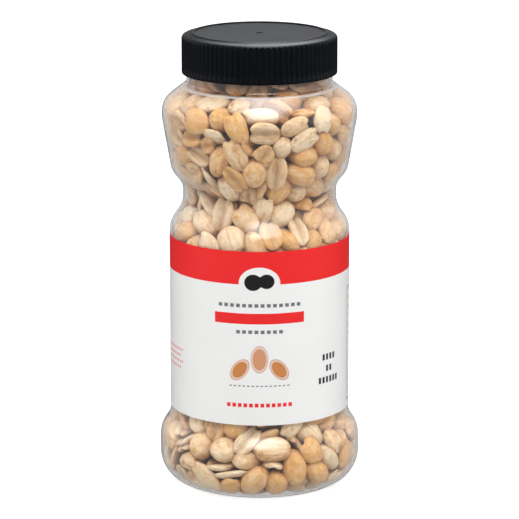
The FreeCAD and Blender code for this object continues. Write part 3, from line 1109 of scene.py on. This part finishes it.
def deep_core(nuts, room):
    """A lumpy spindle that fills the middle of the heap, behind the loose nuts."""
    radii = np.arange(0, room.radii[-1], CORE_GRID)
    points = []
    for height in np.arange(room.heights[0], room.heights[-1], CORE_ROW):
        row = np.stack([radii, 0 * radii, 0 * radii + height], 1)
        deep = radii[room.look(row)[0] > nuts.core_depth / MM]
        if len(deep):
            points.append((deep[-1], height))
    low, high = points[0][1] - CORE_TIP, points[-1][1] + CORE_TIP
    points = [(0.0, low), *points, (0.0, high)]
    outline = bmesh.new()
    verts = [outline.verts.new((radius * MM, 0, height * MM)) for radius, height in points]
    for pair in zip(verts, verts[1:]):
        outline.edges.new(pair)
    form = spin_round(outline, CORE_STEPS)
    for vert in form.verts:
        around = math.atan2(vert.co.y, vert.co.x)
        lump = math.sin(9 * around + 800 * vert.co.z) * math.sin(1000 * vert.co.z - 3 * around)
        vert.co.x *= 1 + CORE_LUMP * lump
        vert.co.y *= 1 + CORE_LUMP * lump
    smooth(form)
    finish_piece("nut_core", form, in_shadow(nuts), ("peanuts",))


def half_sizes(nuts):
    """Half the length, width and thickness of a whole, a half and a bit, in millimetres."""
    wide = nuts.whole_width / MM / 2
    return np.array([
        (nuts.whole_length / MM / 2, wide, WHOLE_FLATNESS * wide),
        (nuts.half_length / MM / 2, nuts.half_width / MM / 2, nuts.half_height / MM / 2),
        BIT_AXES,
    ])


class MakeNuts(bpy.types.Operator):
    """Whole kernels, split halves and bits in the jar, over a core"""

    bl_idname = "peanut_jar.make_nuts"
    bl_label = "Nuts"

    def execute(self, context):
        nuts = context.scene.peanut_nuts
        chance = np.random.default_rng(nuts.seed)
        room = Room(inner_wall(), HEAP_HIGH.z / MM)
        kinds = np.repeat([0, 1, 2], [nuts.wholes, nuts.halves, nuts.bits])
        chance.shuffle(kinds)
        spread = chance.standard_normal((len(kinds), 3)).clip(-MOST_SPREAD, MOST_SPREAD)
        axes = half_sizes(nuts)[kinds] * (1 + SIZE_SPREAD * spread)
        heap = Heap(room, axes, nuts.wall_room / MM, chance)
        heap.settle(nuts.steps)
        near = room.look(heap.places)[0] < nuts.shown_depth / MM
        makers = (
            ("nuts_whole", whole_kernel(), roasted(nuts, "Whole kernel", seam=True)),
            ("nuts_halves", split_half(), roasted(nuts, "Split half")),
            ("nuts_bits", broken_bit(), roasted(nuts, "Broken bit", relief=0.9)),
        )
        for kind, (name, template, flesh) in enumerate(makers):
            scatter_nuts(name, template, heap, near & (kinds == kind), flesh, chance)
        deep_core(nuts, room)
        return {"FINISHED"}


# ---- Stage ----------------------------------------------------------------

# Half the floor's side and the end of the view in metres, and the sensor in millimetres
FLOOR_REACH = 6.0
FAR_CLIP = 50
SENSOR = 36


def lamp(name, place, size, power, aim):
    """A soft lamp that lights the jar, and is neither mirrored in it nor seen through it."""
    data = bpy.data.lights.new(name, "AREA")
    data.shape = "RECTANGLE"
    data.size, data.size_y = size
    data.energy = power
    made = bpy.data.objects.new(name, data)
    made.location = place
    made.rotation_euler = (Vector(aim) - Vector(place)).to_track_quat("-Z", "Y").to_euler()
    made.visible_glossy = False
    made.visible_transmission = False
    bpy.context.scene.collection.objects.link(made)


def pale_paint():
    """Keeps shadows, glows pale to the eye, more so far off, and is dark to reflections."""
    made, tree = new_material("Pale floor")
    camera, through, mirrored = tree.rays("Camera", "Transmission", "Glossy")
    paint = tree.add("ShaderNodeBsdfDiffuse", None, {"Color": 0.52 - mirrored * 0.48})
    far = tree.from_axis().ramp(0.4, 1.6)
    seen = camera.most(through) * (0.78 + far * 0.25)
    glow = tree.add("ShaderNodeEmission", None, {"Strength": seen})
    tree.surface(tree.add("ShaderNodeAddShader", None, {0: paint, 1: glow}))
    return made


def lay_floor():
    """A flat floor under the jar."""
    ground = bmesh.new()
    bmesh.ops.create_grid(ground, x_segments=1, y_segments=1, size=FLOOR_REACH)
    mesh = bpy.data.meshes.new("floor")
    ground.to_mesh(mesh)
    ground.free()
    mesh.materials.append(pale_paint())
    floor = bpy.data.objects.new("floor", mesh)
    bpy.context.scene.collection.objects.link(floor)


def white_room(stage):
    """White to the eye, an even light, and a softbox, panels and a back wall to reflections."""
    world = bpy.data.worlds.new("White room")
    tree = Tree(world)
    aside, ahead, up = tree.parts(tree.add("ShaderNodeTexCoord"))
    camera, through, mirrored = tree.rays("Camera", "Transmission", "Glossy")
    even = (up.ramp(0.25, 0.85) * 0.6 + 0.6) * stage.sky
    softbox = up.ramp(0.4, 0.75) * (1.0 - abs(aside - 0.08).ramp(0.1, 0.42)) * stage.softbox
    panels = abs(aside).ramp(0.5, 0.95) * stage.panels
    back_wall = ahead.ramp(-0.25, 0.45) * (0.21 - up.ramp(0.25, 0.5) * 0.12)
    shine = back_wall + softbox + panels + 0.05
    seen = camera.most(through)
    strength = seen + (1.0 - seen) * (mirrored * shine + (1.0 - mirrored) * even)
    sky = tree.add("ShaderNodeBackground", None, {"Color": (1, 1, 1, 1), "Strength": strength})
    tree.surface(sky, "ShaderNodeOutputWorld")
    return world


def new_camera(stage):
    """A camera that looks down a little at the middle of the jar."""
    data = bpy.data.cameras.new("Camera")
    data.lens = stage.lens
    data.sensor_width = SENSOR
    data.clip_end = FAR_CLIP
    made = bpy.data.objects.new("Camera", data)
    away = Vector((0, -math.cos(stage.elevation), math.sin(stage.elevation)))
    made.location = Vector((0, 0, stage.aim)) + away * stage.distance
    made.rotation_euler = (-away).to_track_quat("-Z", "Y").to_euler()
    return made


class SetStage(bpy.types.Operator):
    """Floor, soft lamps, white surroundings and the camera"""

    bl_idname = "peanut_jar.set_stage"
    bl_label = "Stage"

    def execute(self, context):
        scene, stage = context.scene, context.scene.peanut_stage
        lay_floor()
        scene.world = white_room(stage)
        lamps = (
            ("Front", (0.0, -1.0, 1.35), (1.2, 0.8), stage.front),
            ("Left", (-1.2, -0.35, 0.5), (0.9, 1.3), stage.side),
            ("Right", (1.2, -0.35, 0.5), (0.9, 1.3), 1.2 * stage.side),
            ("Top", (0.0, -0.25, 1.4), (1.3, 1.1), stage.top),
            ("Back", (0.0, 1.4, 0.8), (1.2, 0.8), stage.side),
        )
        for name, place, size, power in lamps:
            lamp(name, place, size, power, aim=(0, 0, stage.aim))
        scene.camera = new_camera(stage)
        scene.collection.objects.link(scene.camera)
        scene.view_settings.view_transform = "Standard"
        return {"FINISHED"}


# ---- Panel and registration -----------------------------------------------


OPERATORS = (MakeJar, MakeCap, MakeLabel, MakeNuts, SetStage)
PROPERTIES = {
    "peanut_jar": JarProperties,
    "peanut_cap": CapProperties,
    "peanut_label": LabelProperties,
    "peanut_nuts": NutProperties,
    "peanut_stage": StageProperties,
}


class PeanutJarPanel(bpy.types.Panel):
    """Sizes, colours and the steps that make the jar"""

    bl_idname = "VIEW3D_PT_peanut_jar"
    bl_label = "Peanut jar"
    bl_space_type = "VIEW_3D"
    bl_region_type = "UI"
    bl_category = "Peanut jar"

    def draw(self, context):
        for operator, name in zip(OPERATORS, PROPERTIES):
            box = self.layout.box()
            box.operator(operator.bl_idname)
            group = getattr(context.scene, name)
            for prop in group.bl_rna.properties:
                if prop.identifier not in ("rna_type", "name"):
                    box.prop(group, prop.identifier)


def register():
    for group in (*PROPERTIES.values(), *OPERATORS, PeanutJarPanel):
        bpy.utils.register_class(group)
    for name, group in PROPERTIES.items():
        setattr(bpy.types.Scene, name, PointerProperty(type=group))


def unregister():
    for name in PROPERTIES:
        delattr(bpy.types.Scene, name)
    for group in (PeanutJarPanel, *reversed(OPERATORS), *reversed(PROPERTIES.values())):
        bpy.utils.unregister_class(group)


def main():
    """Makes the whole jar and its stage."""
    register()
    bpy.ops.peanut_jar.make_jar()
    bpy.ops.peanut_jar.make_cap()
    bpy.ops.peanut_jar.make_label()
    bpy.ops.peanut_jar.make_nuts()
    bpy.ops.peanut_jar.set_stage()


if __name__ == "__main__":
    main()
